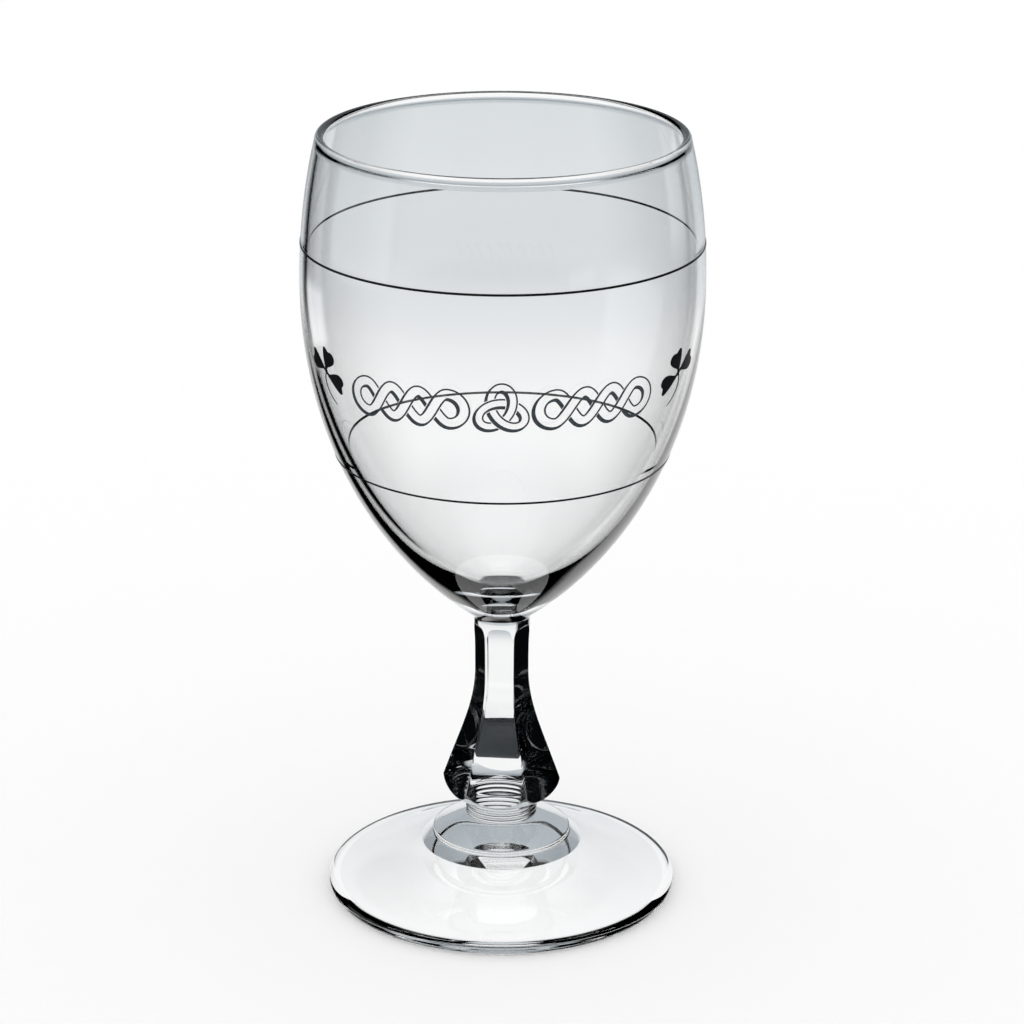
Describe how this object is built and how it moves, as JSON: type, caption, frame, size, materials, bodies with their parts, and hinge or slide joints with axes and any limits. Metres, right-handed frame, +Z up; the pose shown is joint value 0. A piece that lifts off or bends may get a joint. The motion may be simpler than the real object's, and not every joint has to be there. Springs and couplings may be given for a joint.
{
  "type": "irish coffee glass",
  "caption": "Stemmed clear glass for Irish coffee: egg-shaped bowl with printed lines, shamrocks and knotwork, six-sided stem with a knop, round foot.",
  "frame": {"origin": "on the axis of the glass, in the plane of the foot's rest ring", "axes": "+Z up along the axis of the glass, -Y towards the printed front, +X to the right as one faces the print"},
  "size_m": [0.075, 0.075, 0.15],
  "materials": {
    "clear_glass": "clear, fire polished",
    "black_enamel": "fired enamel print, satin",
    "slate_ink": "fired enamel print, satin"
  },
  "bodies": {
    "root": {"bowl": "clear_glass", "stem": "clear_glass", "foot": "clear_glass", "upper_line": "black_enamel", "lower_line": "black_enamel", "shamrock_left": "black_enamel", "shamrock_right": "black_enamel", "plait_left": "slate_ink", "knot_middle": "slate_ink", "plait_right": "slate_ink"}
  },
  "joints": []
}
